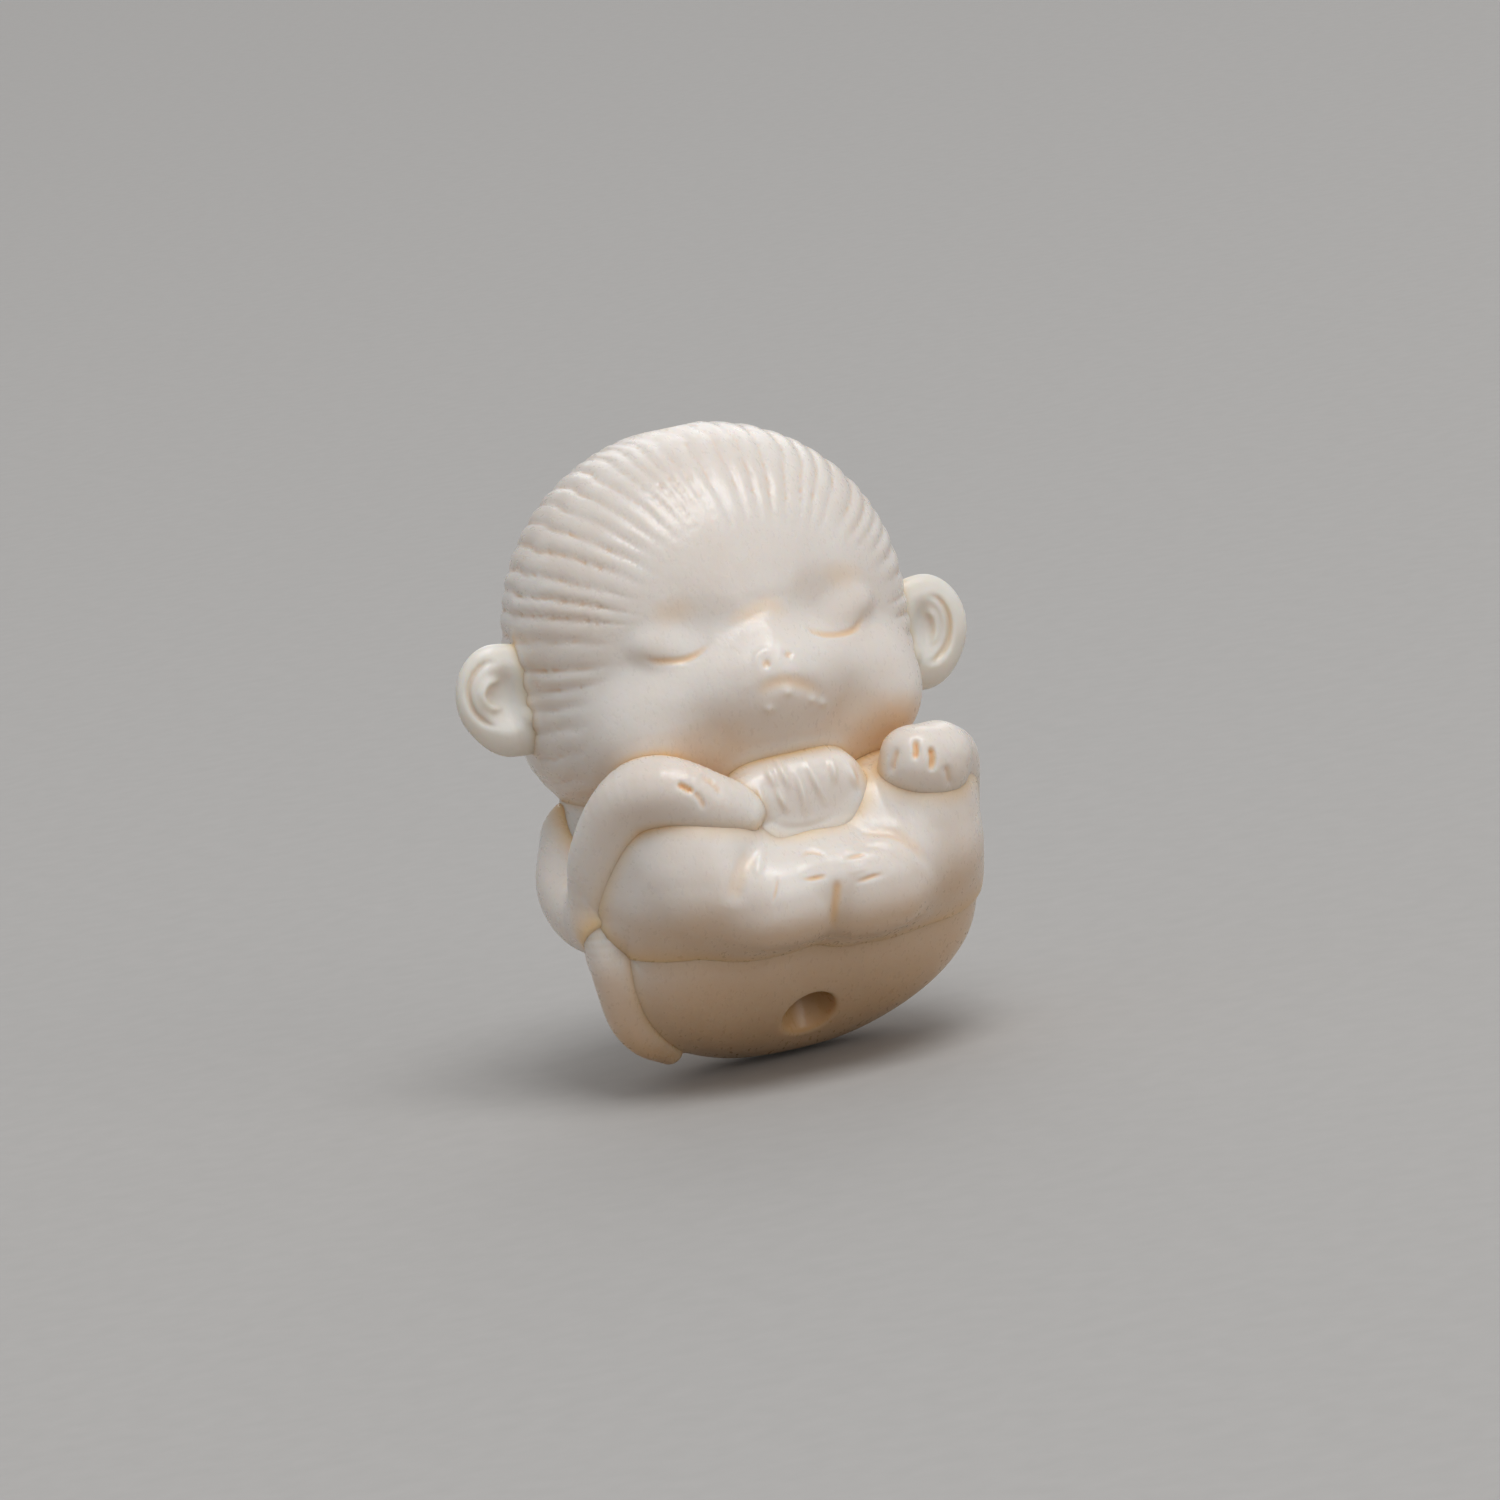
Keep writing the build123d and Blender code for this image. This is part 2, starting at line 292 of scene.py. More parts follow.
def joined(points: Array, masses: Masses) -> Array:
    """About how far points lie outside masses that run into one another.

    Args:
        points: The places asked about.
        masses: The masses in turn, each with the blend that joins it to those before it.

    Returns:
        The distances; negative inside.
    """
    first, _ = masses[0]
    value = first.distance(points)
    for mass, blend in masses[1:]:
        value = union(value, mass.distance(points), blend)
    return value


@dataclass(frozen=True)
class Bore:
    """The drilled hole for the cord, from the lower front of the seat to the crown."""

    radius: float = 0.95
    mouth: Point = (0.0, -3.503, 1.55)
    lean: float = 13.5
    overrun: float = 4.0
    length: float = 30.0

    def direction(self) -> Array:
        """The way the hole runs, upwards."""
        lean = math.radians(self.lean)
        return np.array([0.0, math.sin(lean), math.cos(lean)])

    def distance(self, points: Array) -> Array:
        """How far points lie outside the hole; negative in it."""
        run = self.direction()
        offset = points - np.array(self.mouth)
        along = offset @ run
        return np.linalg.norm(offset - along[:, None] * run, axis=1) - self.radius

    def drill(self) -> bpy.types.Object:
        """The drill itself, as an object that cuts a blank."""
        run = Vector(self.direction())
        middle = Vector(self.mouth) + run * (self.length / 2 - self.overrun)
        turn = Vector((0, 0, 1)).rotation_difference(run).to_matrix().to_4x4()
        place = Matrix.Translation(middle) @ turn
        bit = bmesh.new()
        bmesh.ops.create_cone(
            bit, cap_ends=True, segments=DRILL_SIDES, radius1=self.radius,
            radius2=self.radius, depth=self.length, matrix=place,
        )
        return as_object(bit, "drill")


# Knife work


@dataclass(frozen=True)
class Stroke:
    """One knife stroke through pixels of the photograph; a negative depth raises a ridge. Its
    tint is the crease colour: partly the patina that the cut holds, partly painted shade; a
    stroke with no depth is painted shade only.
    """

    path: tuple[Pixel, ...]
    width: float
    depth: float
    fade: float = 0.3
    tint: float = 1.0
    cuts: int = 6
    lead: float = -0.02

    def share(self, pixels: Array) -> Array:
        """How much of the stroke's depth reaches each point.

        Args:
            pixels: The points, in pixels of the photograph.

        Returns:
            The shares, from 0 to 1.
        """
        near = np.full(len(pixels), FAR)
        along = np.zeros(len(pixels))
        if len(self.path) > 1:
            path = smooth_path(self.path, self.cuts)
        else:
            path = np.array([self.path[0]] * 2)
        spans = len(path) - 1
        for index, (start, end) in enumerate(zip(path[:-1], path[1:])):
            run = end - start
            offset = pixels - start
            share = np.clip(offset @ run / max(run @ run, TINY), 0.0, 1.0)
            away = np.linalg.norm(offset - share[:, None] * run, axis=1)
            closer = away < near
            near = np.where(closer, away, near)
            along = np.where(closer, (index + share) / spans, along)
        ends = np.minimum(along, 1.0 - along)
        thinning = step(self.lead, self.fade, ends) if self.fade and spans > 1 else 1.0
        width = self.width * VIEW.focal_pixels / VIEW.distance
        return np.exp(-((near / width) ** 2)) * thinning


@dataclass(frozen=True)
class Locks:
    """Hair combed straight back from the face in rounded locks with sharp valleys."""

    middle: Point = (0.0, 0.0, 15.2)
    count: int = 56
    depth: float = 0.165
    sharpness: float = 1.25
    stand: float = 0.05
    crown: tuple[float, float] = (0.35, 0.85)
    crown_share: float = 0.85
    fine_count: int = 4
    fine_depth: float = 0.02
    hairline: float = -3.75
    lean: float = 11.5
    start: tuple[float, float] = (-0.25, 1.3)
    raggedness: float = 0.3
    steadiness: tuple[float, float] = (0.78, 0.22)
    evenness: tuple[float, float] = (0.75, 0.4)
    waver: float = 0.6
    ripple: float = 0.10
    whorl: tuple[float, float] = (1.4, 3.8)
    nape: tuple[float, float] = (10.2, 11.2)

    def cut(self, points: Array) -> tuple[Array, Array]:
        """The hair's relief on the head.

        Args:
            points: Points of the head's surface.

        Returns:
            The depth to cut at each point, and how much of it is valley, from 0 to 1.
        """
        across = points[:, 0] - self.middle[0]
        rise = points[:, 2] - self.middle[2]
        angle = np.arctan2(across, rise)
        reach = np.hypot(across, rise)
        # Each lock has a number round the head, which wanders along the hair
        number = angle * self.count / (2 * math.pi)
        number = number + self.waver * wavering(3.0 * angle, 0.7)
        number = number + self.ripple * wavering(points[:, 1] * 1.1 + 2.0 * angle, 2.1)
        own = np.floor(number)
        ragged = scattered(own)
        # The hair starts raggedly behind the hairline and ends at the whorl and the nape
        lean = math.tan(math.radians(self.lean))
        behind = points[:, 1] - (self.hairline - lean * rise) + self.raggedness * ragged
        least, spread = self.steadiness
        kept = step(*self.start, behind) * step(*self.whorl, reach) * (least + spread * ragged)
        kept = kept * step(*self.nape, points[:, 2])
        # The locks grow deeper and shallower along their length, and shallower on the crown
        mean, spread = self.evenness
        kept = kept * (mean + spread * wavering(points[:, 1] * 0.9 + 1.9 * own, 3.3))
        kept = kept * (1.0 - (1.0 - self.crown_share) * step(*self.crown, np.cos(angle)))
        valley = 1.0 - np.abs(np.sin(math.pi * number))
        fine = 1.0 - np.abs(np.sin(math.pi * number * self.fine_count))
        depth = self.depth * valley**self.sharpness + self.fine_depth * fine - self.stand
        return depth * kept, valley**2 * kept


# Meshes


def as_object(mesh: bmesh.types.BMesh, name: str) -> bpy.types.Object:
    """Turns a bmesh into a linked object and frees it."""
    data = bpy.data.meshes.new(name)
    mesh.to_mesh(data)
    mesh.free()
    made = bpy.data.objects.new(name, data)
    bpy.context.scene.collection.objects.link(made)
    return made


def settle(piece: bpy.types.Object) -> None:
    """Applies an object's modifiers to its mesh."""
    depsgraph = bpy.context.evaluated_depsgraph_get()
    old = piece.data
    piece.data = bpy.data.meshes.new_from_object(piece.evaluated_get(depsgraph))
    piece.modifiers.clear()
    bpy.data.meshes.remove(old)


def fuse(piece: bpy.types.Object, voxel: float) -> None:
    """Fuses a blank's overlapping balls into one even skin."""
    remesh = piece.modifiers.new("fuse", "REMESH")
    remesh.mode = "VOXEL"
    remesh.voxel_size = voxel
    remesh.use_smooth_shade = True
    settle(piece)


def read_points(mesh: bpy.types.Mesh) -> Array:
    """A mesh's vertex places, one row each."""
    places = np.empty(len(mesh.vertices) * 3)
    mesh.vertices.foreach_get("co", places)
    return places.reshape(-1, 3)


def write_points(mesh: bpy.types.Mesh, places: Array) -> None:
    """Moves a mesh's vertices to new places."""
    mesh.vertices.foreach_set("co", np.ascontiguousarray(places, float).ravel())
    mesh.update()


def relax(piece: bpy.types.Object, rounds: int) -> None:
    """Evens out the spacing of a mesh's points."""
    mesh = bmesh.new()
    mesh.from_mesh(piece.data)
    for _ in range(rounds):
        bmesh.ops.smooth_vert(
            mesh, verts=mesh.verts, factor=0.5,
            use_axis_x=True, use_axis_y=True, use_axis_z=True,
        )
    mesh.to_mesh(piece.data)
    mesh.free()


def refine(piece: bpy.types.Object, wanted: Array) -> None:
    """Splits the faces whose corners are all wanted into four.

    Args:
        piece: The object whose mesh is split.
        wanted: For each of its vertices, whether it is wanted.
    """
    mesh = bmesh.new()
    mesh.from_mesh(piece.data)
    mesh.verts.ensure_lookup_table()
    edges = [
        edge for edge in mesh.edges
        if wanted[edge.verts[0].index] and wanted[edge.verts[1].index]
    ]
    bmesh.ops.subdivide_edges(mesh, edges=edges, cuts=1, use_grid_fill=True)
    loose = [face for face in mesh.faces if len(face.verts) > 4]
    bmesh.ops.triangulate(mesh, faces=loose)
    mesh.to_mesh(piece.data)
    mesh.free()


# Carved pieces


Form = Callable[[Array], Array]
Looks = tuple[tuple[float, float], ...]
BLANK_ROUNDS = 5
FIRST_ROUNDS = 4
RELAX_ROUNDS = 3
LAST_ROUNDS = 3
FINE_ROUNDS = 2
PROBE = 0.012
LONGEST_MOVE = 0.5
LEAST_STEEPNESS = 0.05
FACING = (0.05, 0.3)


@dataclass(frozen=True)
class ShadeAndPatina:
    """Painted warm shade in creases, hollows and undersides, with the patina of the knife cuts;
    each look is a reach in millimetres with its weight.
    """

    crease_shade_looks: Looks = ((0.25, 0.8), (0.6, 0.35))
    hollow_shade_looks: Looks = ((1.4, 0.5), (2.8, 0.5))
    slack: float = 0.12
    most: float = 1.2
    bore_edge: float = 0.3
    # How strongly undersides get painted shade, and over which downward facing
    tan: float = 0.75
    under_shade_range: tuple[float, float] = (-0.3, 0.7)
    # How fast the painted shade in the valleys between pieces falls off
    valley_power: float = 1.5
    # How strongly the hair valleys get the crease colour: the patina they hold and painted shade
    lock_tint: float = 0.35


SHADE_AND_PATINA = ShadeAndPatina()


@dataclass
class Carving:
    """One carved mass of the figure: its lumps, what is cut from them, and its strokes."""

    name: str
    nodes: tuple[str, ...]
    slot: str
    voxel: float
    masses: Masses
    hollows: Masses = ()
    strokes: tuple[Stroke, ...] = ()
    bore: Bore | None = None
    rim: float = 0.22
    fine_frames: tuple[tuple[float, float, float, float], ...] = ()
    valley: float = 0.8
    # How much painted shade its undersides get
    under_shade_weight: float = 1.0
    piece: bpy.types.Object | None = field(default=None, repr=False)
    low: Array | None = field(default=None, repr=False)
    high: Array | None = field(default=None, repr=False)

    def lumps(self) -> list[Mass]:
        """The lumps that the blank is roughed out from."""
        return [mass for mass, _ in self.masses]

    def skin(self, points: Array) -> Array:
        """About how far points lie outside the mass before it is bored or cut."""
        value = joined(points, self.masses)
        for mass, blend in self.hollows:
            value = without(value, mass.distance(points), blend)
        return value

    def form(self, points: Array) -> Array:
        """The finished form: the skin, with the bore through it."""
        value = self.skin(points)
        if self.bore:
            value = without(value, self.bore.distance(points), self.rim)
        return value

    def relief(self, points: Array, facing: Array) -> tuple[Array, Array]:
        """How deep the knife goes, and how much crease colour it gets: patina in the cut and
        painted shade.

        Args:
            points: Points of the surface.
            facing: How far each one faces the photograph, from 0 to 1.

        Returns:
            The depths, and the tints from 0 to 1.
        """
        depth, tint = np.zeros(len(points)), np.zeros(len(points))
        pixels = VIEW.pixels(points)
        for stroke in self.strokes:
            share = stroke.share(pixels) * facing
            depth += stroke.depth * share
            if stroke.depth >= 0:
                tint = np.maximum(tint, share * stroke.tint)
        return depth, tint

    def slope(self, points: Array, form: Form | None = None) -> Array:
        """The gradient of the finished form, or of another, by small differences."""
        form = form or self.form
        sides = []
        for axis in range(3):
            offset = np.zeros(3)
            offset[axis] = PROBE
            sides.append((form(points + offset) - form(points - offset)) / (2 * PROBE))
        return np.stack(sides, 1)

    def blank(self) -> bpy.types.Object:
        """Roughs the piece out and fuses it to one skin, drilled if it has a bore."""
        stock = bmesh.new()
        for mass in self.lumps():
            mass.rough_out(stock)
        piece = as_object(stock, self.name)
        fuse(piece, self.voxel)
        if self.bore:
            places = self.draw_on(read_points(piece.data), BLANK_ROUNDS, self.skin)
            write_points(piece.data, places)
            drill = self.bore.drill()
            cut = piece.modifiers.new("drill", "BOOLEAN")
            cut.operation, cut.object, cut.solver = "DIFFERENCE", drill, "EXACT"
            settle(piece)
            bpy.data.objects.remove(drill)
            fuse(piece, self.voxel)
        return piece

    def draw_on(self, places: Array, rounds: int, form: Form | None = None) -> Array:
        """Draws points onto the finished form, or onto another.

        Args:
            places: The points to draw.
            rounds: How many times they are drawn nearer.
            form: About how far points lie outside the form, if not the finished one.

        Returns:
            The points' new places.
        """
        form = form or self.form
        for _ in range(rounds):
            slope = self.slope(places, form)
            steep = np.maximum((slope**2).sum(1), LEAST_STEEPNESS)
            move = (form(places) / steep)[:, None] * slope
            length = np.linalg.norm(move, axis=1, keepdims=True)
            places = places - move * np.minimum(1.0, LONGEST_MOVE / np.maximum(length, TINY))
        return places

    def swelling(self, points: Array, others: Form) -> Array:
        """How far the surface swells towards its neighbours, to fill the valley between."""
        gap = others(points)
        reach = np.clip(self.valley - np.abs(gap), 0.0, None)
        return reach**2 / (4.0 * self.valley)

    def shape(self) -> None:
        """Builds the piece's smooth form, in millimetres."""
        piece = self.blank()
        write_points(piece.data, self.draw_on(read_points(piece.data), FIRST_ROUNDS))
        relax(piece, RELAX_ROUNDS)
        places = self.draw_on(read_points(piece.data), LAST_ROUNDS)
        write_points(piece.data, places)
        for left, top, right, bottom in self.fine_frames:
            slope = self.slope(places)
            facing = slope @ VIEW.axes()[2] > FACING[0]
            pixels = VIEW.pixels(places)
            inside = (pixels > (left, top)).all(1) & (pixels < (right, bottom)).all(1)
            refine(piece, inside & facing)
            places = self.draw_on(read_points(piece.data), FINE_ROUNDS)
            write_points(piece.data, places)
        self.piece = piece
        self.low, self.high = places.min(0), places.max(0)

    def distance(self, points: Array, reach: float = 3.0) -> Array:
        """About how far points lie outside the shaped piece.

        Args:
            points: The places asked about.
            reach: How far round the piece it is worked out.

        Returns:
            The distances, and three times the reach for points that aren't near.
        """
        result = np.full(len(points), 3.0 * reach)
        near = (points > self.low - reach).all(1) & (points < self.high + reach).all(1)
        result[near] = self.form(points[near])
        return result

    def cut(self, others: Form) -> None:
        """Fills the valleys to the neighbours, paints shade into them and cuts the relief.

        Args:
            others: About how far points lie from the nearest other piece.
        """
        piece = self.piece
        places = read_points(piece.data)
        slope = self.slope(places)
        normal = slope / np.maximum(np.linalg.norm(slope, axis=1, keepdims=True), TINY)
        facing = step(*FACING, normal @ VIEW.axes()[2])
        depth, tint = self.relief(places, facing)
        swollen = self.swelling(places, others)
        depth -= swollen
        # The filled valleys between pieces get painted shade
        tint = np.maximum(tint, (4.0 * swollen / self.valley) ** SHADE_AND_PATINA.valley_power)
        write_points(piece.data, places - normal * depth[:, None])
        piece.data.attributes.new("cut", "FLOAT", "POINT").data.foreach_set("value", tint)
        piece.data.shade_smooth()

    def dress(self, around: Form, finish: bpy.types.Material) -> None:
        """Works out the painted shade in creases, hollows, undersides and the bore, scales the
        piece to metres and finishes it.

        Args:
            around: About how far points lie from the whole figure.
            finish: The material that the piece takes.
        """
        mesh = self.piece.data
        places = read_points(mesh)
        normals = np.empty(len(mesh.vertices) * 3)
        mesh.vertex_normals.foreach_get("vector", normals)
        normals = normals.reshape(-1, 3)
        cut = np.empty(len(mesh.vertices))
        mesh.attributes["cut"].data.foreach_get("value", cut)
        # Painted shade in tight creases and where pieces meet
        near = np.zeros(len(places))
        for reach, weight in SHADE_AND_PATINA.crease_shade_looks:
            gap = around(places + normals * reach)
            near += weight * np.clip((reach - gap) / reach - SHADE_AND_PATINA.slack, 0.0, SHADE_AND_PATINA.most)
        # Painted shade in broad hollows and near the floor
        wide = np.zeros(len(places))
        for reach, weight in SHADE_AND_PATINA.hollow_shade_looks:
            ahead = places + normals * reach
            gap = np.minimum(around(ahead), ahead[:, 2])
            wide += weight * np.clip((reach - gap) / reach, 0.0, SHADE_AND_PATINA.most)
        crease, hollow = np.clip(near + cut, 0.0, 1.0), np.clip(wide, 0.0, 1.0)
        # Painted shade on undersides, stronger the more they face down
        under = SHADE_AND_PATINA.tan * self.under_shade_weight * step(*SHADE_AND_PATINA.under_shade_range, -normals[:, 2])
        # Painted shade in the bore
        if self.bore:
            wall = step(SHADE_AND_PATINA.bore_edge, 0.0, self.bore.distance(places))
            crease = crease * (1.0 - wall)
            hollow, under = np.maximum(hollow, wall), np.maximum(under, wall)
        for label, value in (("crease", crease), ("hollow", hollow), ("under", under)):
            mesh.attributes.new(label, "FLOAT", "POINT").data.foreach_set("value", value)
        mesh.attributes.remove(mesh.attributes["cut"])
        write_points(mesh, places * MM)
        mesh.materials.clear()
        mesh.materials.append(finish)
        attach(self.piece, "root")
        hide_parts(*self.nodes)
        mesh.calc_loop_triangles()
        LOG.info("%s: %d triangles", self.name, len(mesh.loop_triangles))


@dataclass
class Head(Carving):
    """The head, with the hair combed back over the smooth face."""

    locks: Locks = field(default_factory=Locks)

    def relief(self, points: Array, facing: Array) -> tuple[Array, Array]:
        """The face's strokes, and the locks behind the hairline."""
        depth, tint = super().relief(points, facing)
        combed, valley = self.locks.cut(points)
        clear = self.bore.distance(points) > SHADE_AND_PATINA.bore_edge
        # The hair valleys get the crease colour: patina and painted shade
        return depth + combed * clear, np.maximum(tint, SHADE_AND_PATINA.lock_tint * valley * clear)


@dataclass
class Legs(Carving):
    """Both drawn-up legs; their feet run together above and part in a soft groove below."""

    other_masses: Masses = ()
    groove: float = 0.5
    bridge: float = 1.5
    bridged: tuple[float, float] = (5.4, 8.0)

    def lumps(self) -> list[Mass]:
        """The lumps of both legs."""
        return [*super().lumps(), *(mass for mass, _ in self.other_masses)]

    def skin(self, points: Array) -> Array:
        """Both legs' masses, bridged above the groove."""
        higher = step(*self.bridged, points[:, 2])
        blend = self.groove + (self.bridge - self.groove) * higher
        return union(super().skin(points), joined(points, self.other_masses), blend)


@dataclass
class Rump(Carving):
    """The torso and the rounded seat, sloped under the front and flat where it stands."""

    slope_point: Point = (0.0, -3.503, 1.55)
    slope_angle: float = 45.0
    slope_blend: float = 2.2
    base_blend: float = 0.5
    sink: float = 0.13

    def skin(self, points: Array) -> Array:
        """The rump's masses, cut by the slope under the front and by the base."""
        value = super().skin(points)
        angle = math.radians(self.slope_angle)
        away = np.array([0.0, -math.sin(angle), -math.cos(angle)])
        lifted = (points - np.array(self.slope_point)) @ away
        value = -union(-value, -lifted, self.slope_blend)
        return -union(-value, points[:, 2] + self.sink, self.base_blend)


FACE_STROKES = (
    Stroke(
        ((638, 656), (652, 661), (668, 661.5), (686, 659), (702, 650), (715, 636)),
        width=0.12, depth=0.07, fade=0.35, tint=0.45,
    ),
    Stroke(
        ((805, 615), (809, 628), (822, 633.5), (838, 634), (853, 630), (861, 621), (868, 608)),
        width=0.12, depth=0.07, fade=0.35, tint=0.45,
    ),
    # A broad shallow groove along the brow; its broad tint is painted shade
    Stroke(
        ((694, 634), (727, 623), (750, 613), (769, 603), (785, 612), (812, 604)),
        width=0.4, depth=0.05, fade=0.45, tint=0.25,
    ),
    # This band and the next sit above the lids with no cut: painted shade only
    Stroke(
        ((640, 632), (660, 617), (685, 610), (712, 614)),
        width=0.6, depth=0.0, fade=0.45, tint=0.3,
    ),
    Stroke(
        ((812, 590), (832, 577), (852, 576), (872, 588)),
        width=0.6, depth=0.0, fade=0.45, tint=0.3,
    ),
    Stroke(((766.5, 663.5),), width=0.17, depth=0.08, fade=0.0, tint=0.4),
    Stroke(((788.5, 654.5),), width=0.14, depth=0.07, fade=0.0, tint=0.4),
    Stroke(((756, 668), (757, 656), (766, 650), (777, 653)), width=0.12, depth=-0.03, fade=0.4),
    Stroke(
        ((750, 706), (758, 694), (770, 685), (788, 681), (808, 686), (824, 695), (834, 706)),
        width=0.3, depth=0.07, fade=0.4, tint=0.35,
    ),
    Stroke(((769, 709),), width=0.16, depth=-0.07, fade=0.0),
    Stroke(((788, 692),), width=0.17, depth=-0.06, fade=0.0),
    Stroke(((812, 700),), width=0.15, depth=-0.05, fade=0.0),
    Stroke(((822, 703),), width=0.14, depth=-0.05, fade=0.0),
)


def head() -> Head:
    """The head with its muzzle, cheeks, closed lids, hair and the upper end of the bore."""
    skull = Lump(
        (0.0, 0.4, 15.2), 7.05, 5.7, 6.0, 6.9, 5.7,
        plan_power=2.15, up_power=2.05, down_power=4.6,
    )
    mask = Lump((0.0, -2.7, 13.5), 5.3, 3.55, 3.0, 2.2, 2.5)
    snout = Lump((0.0, -3.8, 13.7), 2.7, 3.0, 3.0, 2.15, 2.9)
    jowl = pebble((3.9, -3.0, 12.2), (2.1, 2.2, 1.9))
    chin = pebble((0.0, -2.2, 11.2), (4.2, 3.0, 2.0))
    socket = pebble((3.0, -6.85, 16.1), (2.3, 1.5, 1.0), (0, -6, 0))
    lid = pebble((2.95, -4.15, 15.35), (1.35, 0.82, 0.78), (0, -8, 0))
    return Head(
        name="head",
        nodes=("hair_hood", "face"),
        slot="tagua",
        voxel=0.136,
        under_shade_weight=0.45,
        masses=(
            (skull, 0.0), (mask, 0.9), (snout, 1.0), (jowl, 1.2), (jowl.mirrored(), 1.2),
            (chin, 1.5), (lid, 0.5), (lid.mirrored(), 0.5),
        ),
        hollows=((socket, 1.2), (socket.mirrored(), 1.2)),
        strokes=FACE_STROKES,
        bore=Bore(),
        fine_frames=((600, 590, 905, 745), (735, 630, 850, 725)),
    )


def ear(name: str, side: float, drop: float, stretch: float) -> Carving:
    """One ear: a thin cupped shell with a rolled rim and an inner fold.

    Args:
        name: The ear's name and its node.
        side: 1 on the figure's left, -1 on its right.
        drop: How much lower than the other it was cut.
        stretch: How much taller it is than the plain shell, as a factor.

    Returns:
        The ear.
    """
    x, z = 8.0, 14.1 - drop
    shell = pebble((x, 0.15, z + 0.15), (1.45, 0.6, 1.72 * stretch), (0, -8, 0))
    lobe = pebble((x - 0.45, 0.15, z - 1.15), (1.05, 0.55, 0.95))
    cup = pebble((x - 0.15, -0.9, z + 0.1), (0.92, 0.85, 1.22 * stretch), (0, -8, 0))
    fold = Limb(
        (
            (x - 1.1, -0.25, z - 0.9, 0.22), (x - 0.4, -0.35, z - 0.35, 0.2),
            (x - 0.15, -0.3, z + 0.5, 0.14),
        )
    )
    masses: Masses = ((shell, 0.0), (lobe, 0.7), (fold, 0.25))
    hollows: Masses = ((cup, 0.35),)
    strokes = (
        Stroke(
            ((926, 594), (940, 600), (949, 617), (948, 640), (938, 657), (926, 664)),
            width=0.13, depth=0.12, fade=0.25, tint=0.2,
        ),
        Stroke(
            ((924, 607), (934, 617), (936, 634), (929, 648)),
            width=0.13, depth=-0.12, fade=0.25,
        ),
    )
    if side < 0:
        masses = tuple((mass.mirrored(), blend) for mass, blend in masses)
        hollows = tuple((mass.mirrored(), blend) for mass, blend in hollows)
        strokes = (
            Stroke(
                (
                    (500, 662), (484, 664), (472, 677), (468, 694),
                    (474, 712), (488, 724), (503, 727),
                ),
                width=0.13, depth=0.13, fade=0.25, tint=0.2,
            ),
            Stroke(
                ((502, 679), (488, 683), (482, 696), (490, 708), (504, 709)),
                width=0.13, depth=-0.13, fade=0.2,
            ),
        )
    return Carving(
        name=f"{name}_shell", nodes=(name,), slot="pale_tagua", voxel=0.055, under_shade_weight=0.4,
        masses=masses, hollows=hollows, strokes=strokes,
    )


def tuft() -> Carving:
    """The tuft of fur under the chin, with raised locks above and a band below."""
    locks = (
        ((757, 783), (762, 800), (768, 819)), ((765, 763), (771, 777), (777, 790)),
        ((776, 786), (782, 800), (789, 816)), ((775, 757), (783, 774), (792, 791)),
        ((794, 766), (802, 792), (807, 822)), ((804, 756), (815, 781), (828, 808)),
        ((829, 753), (833, 770), (836, 787)), ((845, 760), (852, 776), (857, 791)),
    )
    band = Stroke(
        ((752, 812), (762, 826), (778, 838), (797, 840), (820, 834), (842, 824), (856, 808)),
        width=0.17, depth=-0.06, fade=0.3,
    )
    seam = Stroke(
        ((758, 812), (780, 826), (800, 828), (822, 822), (844, 808)),
        width=0.14, depth=0.035, fade=0.4, tint=0.15,
    )
    return Carving(
        name="chin_tuft",
        nodes=("chest_tuft",),
        slot="tagua",
        voxel=0.055,
        valley=0.9,
        under_shade_weight=0.4,
        masses=(
            (
                Lump(
                    (0.0, -5.68, 9.4), 2.45, 1.15, 1.2, 1.6, 2.2,
                    plan_power=2.8, up_power=3.2, down_power=2.4,
                ),
                0.0,
            ),
        ),
        strokes=(
            *(Stroke(path, width=0.115, depth=-0.12, fade=0.5) for path in locks), band, seam
        ),
    )


UPPER_ARM = Limb(
    (
        (5.7, 1.4, 8.6, 1.1), (6.1, 0.5, 7.3, 1.45),
        (6.35, -1.0, 6.5, 1.35), (6.4, -2.3, 6.6, 1.1),
    )
)
RIGHT_HAND_STROKES = (
    Stroke(((676, 783), (686, 788), (695, 793)), width=0.09, depth=0.16, fade=0.3, tint=0.8),
    Stroke(((692, 791), (700, 799), (705, 811)), width=0.1, depth=0.07, fade=0.3, tint=0.4),
    Stroke(((698, 774), (712, 783), (724, 798)), width=0.12, depth=0.06, fade=0.3, tint=0.3),
)


def right_arm() -> Carving:
    """The figure's right arm, folded, with its hand bent over the knee."""
    fore = Limb(
        (
            (-6.4, -2.4, 6.8, 1.05), (-6.6, -3.4, 8.6, 1.0), (-5.9, -4.85, 10.45, 1.05),
            (-4.7, -5.9, 10.8, 1.1), (-3.3, -6.5, 10.2, 0.95), (-2.3, -6.7, 9.6, 0.55),
        )
    )
    return Carving(
        name="right_arm_and_hand",
        nodes=("arm_right", "hand_right"),
        slot="tagua",
        voxel=0.075,
        under_shade_weight=0.4,
        valley=1.2,
        masses=((UPPER_ARM.mirrored(), 0.0), (fore, 0.35)),
        strokes=RIGHT_HAND_STROKES,
    )


LEFT_HAND_STROKES = (
    Stroke(((915, 738), (916, 750), (915, 761)), width=0.1, depth=0.17, fade=0.3, tint=0.4),
    Stroke(((930, 745), (933, 758), (931, 773)), width=0.1, depth=0.19, fade=0.3, tint=0.4),
    Stroke(((898, 746), (893, 760), (890, 776)), width=0.12, depth=0.1, fade=0.3, tint=0.2),
    Stroke(((945, 764), (949, 775), (949, 788)), width=0.12, depth=0.1, fade=0.3, tint=0.2),
)


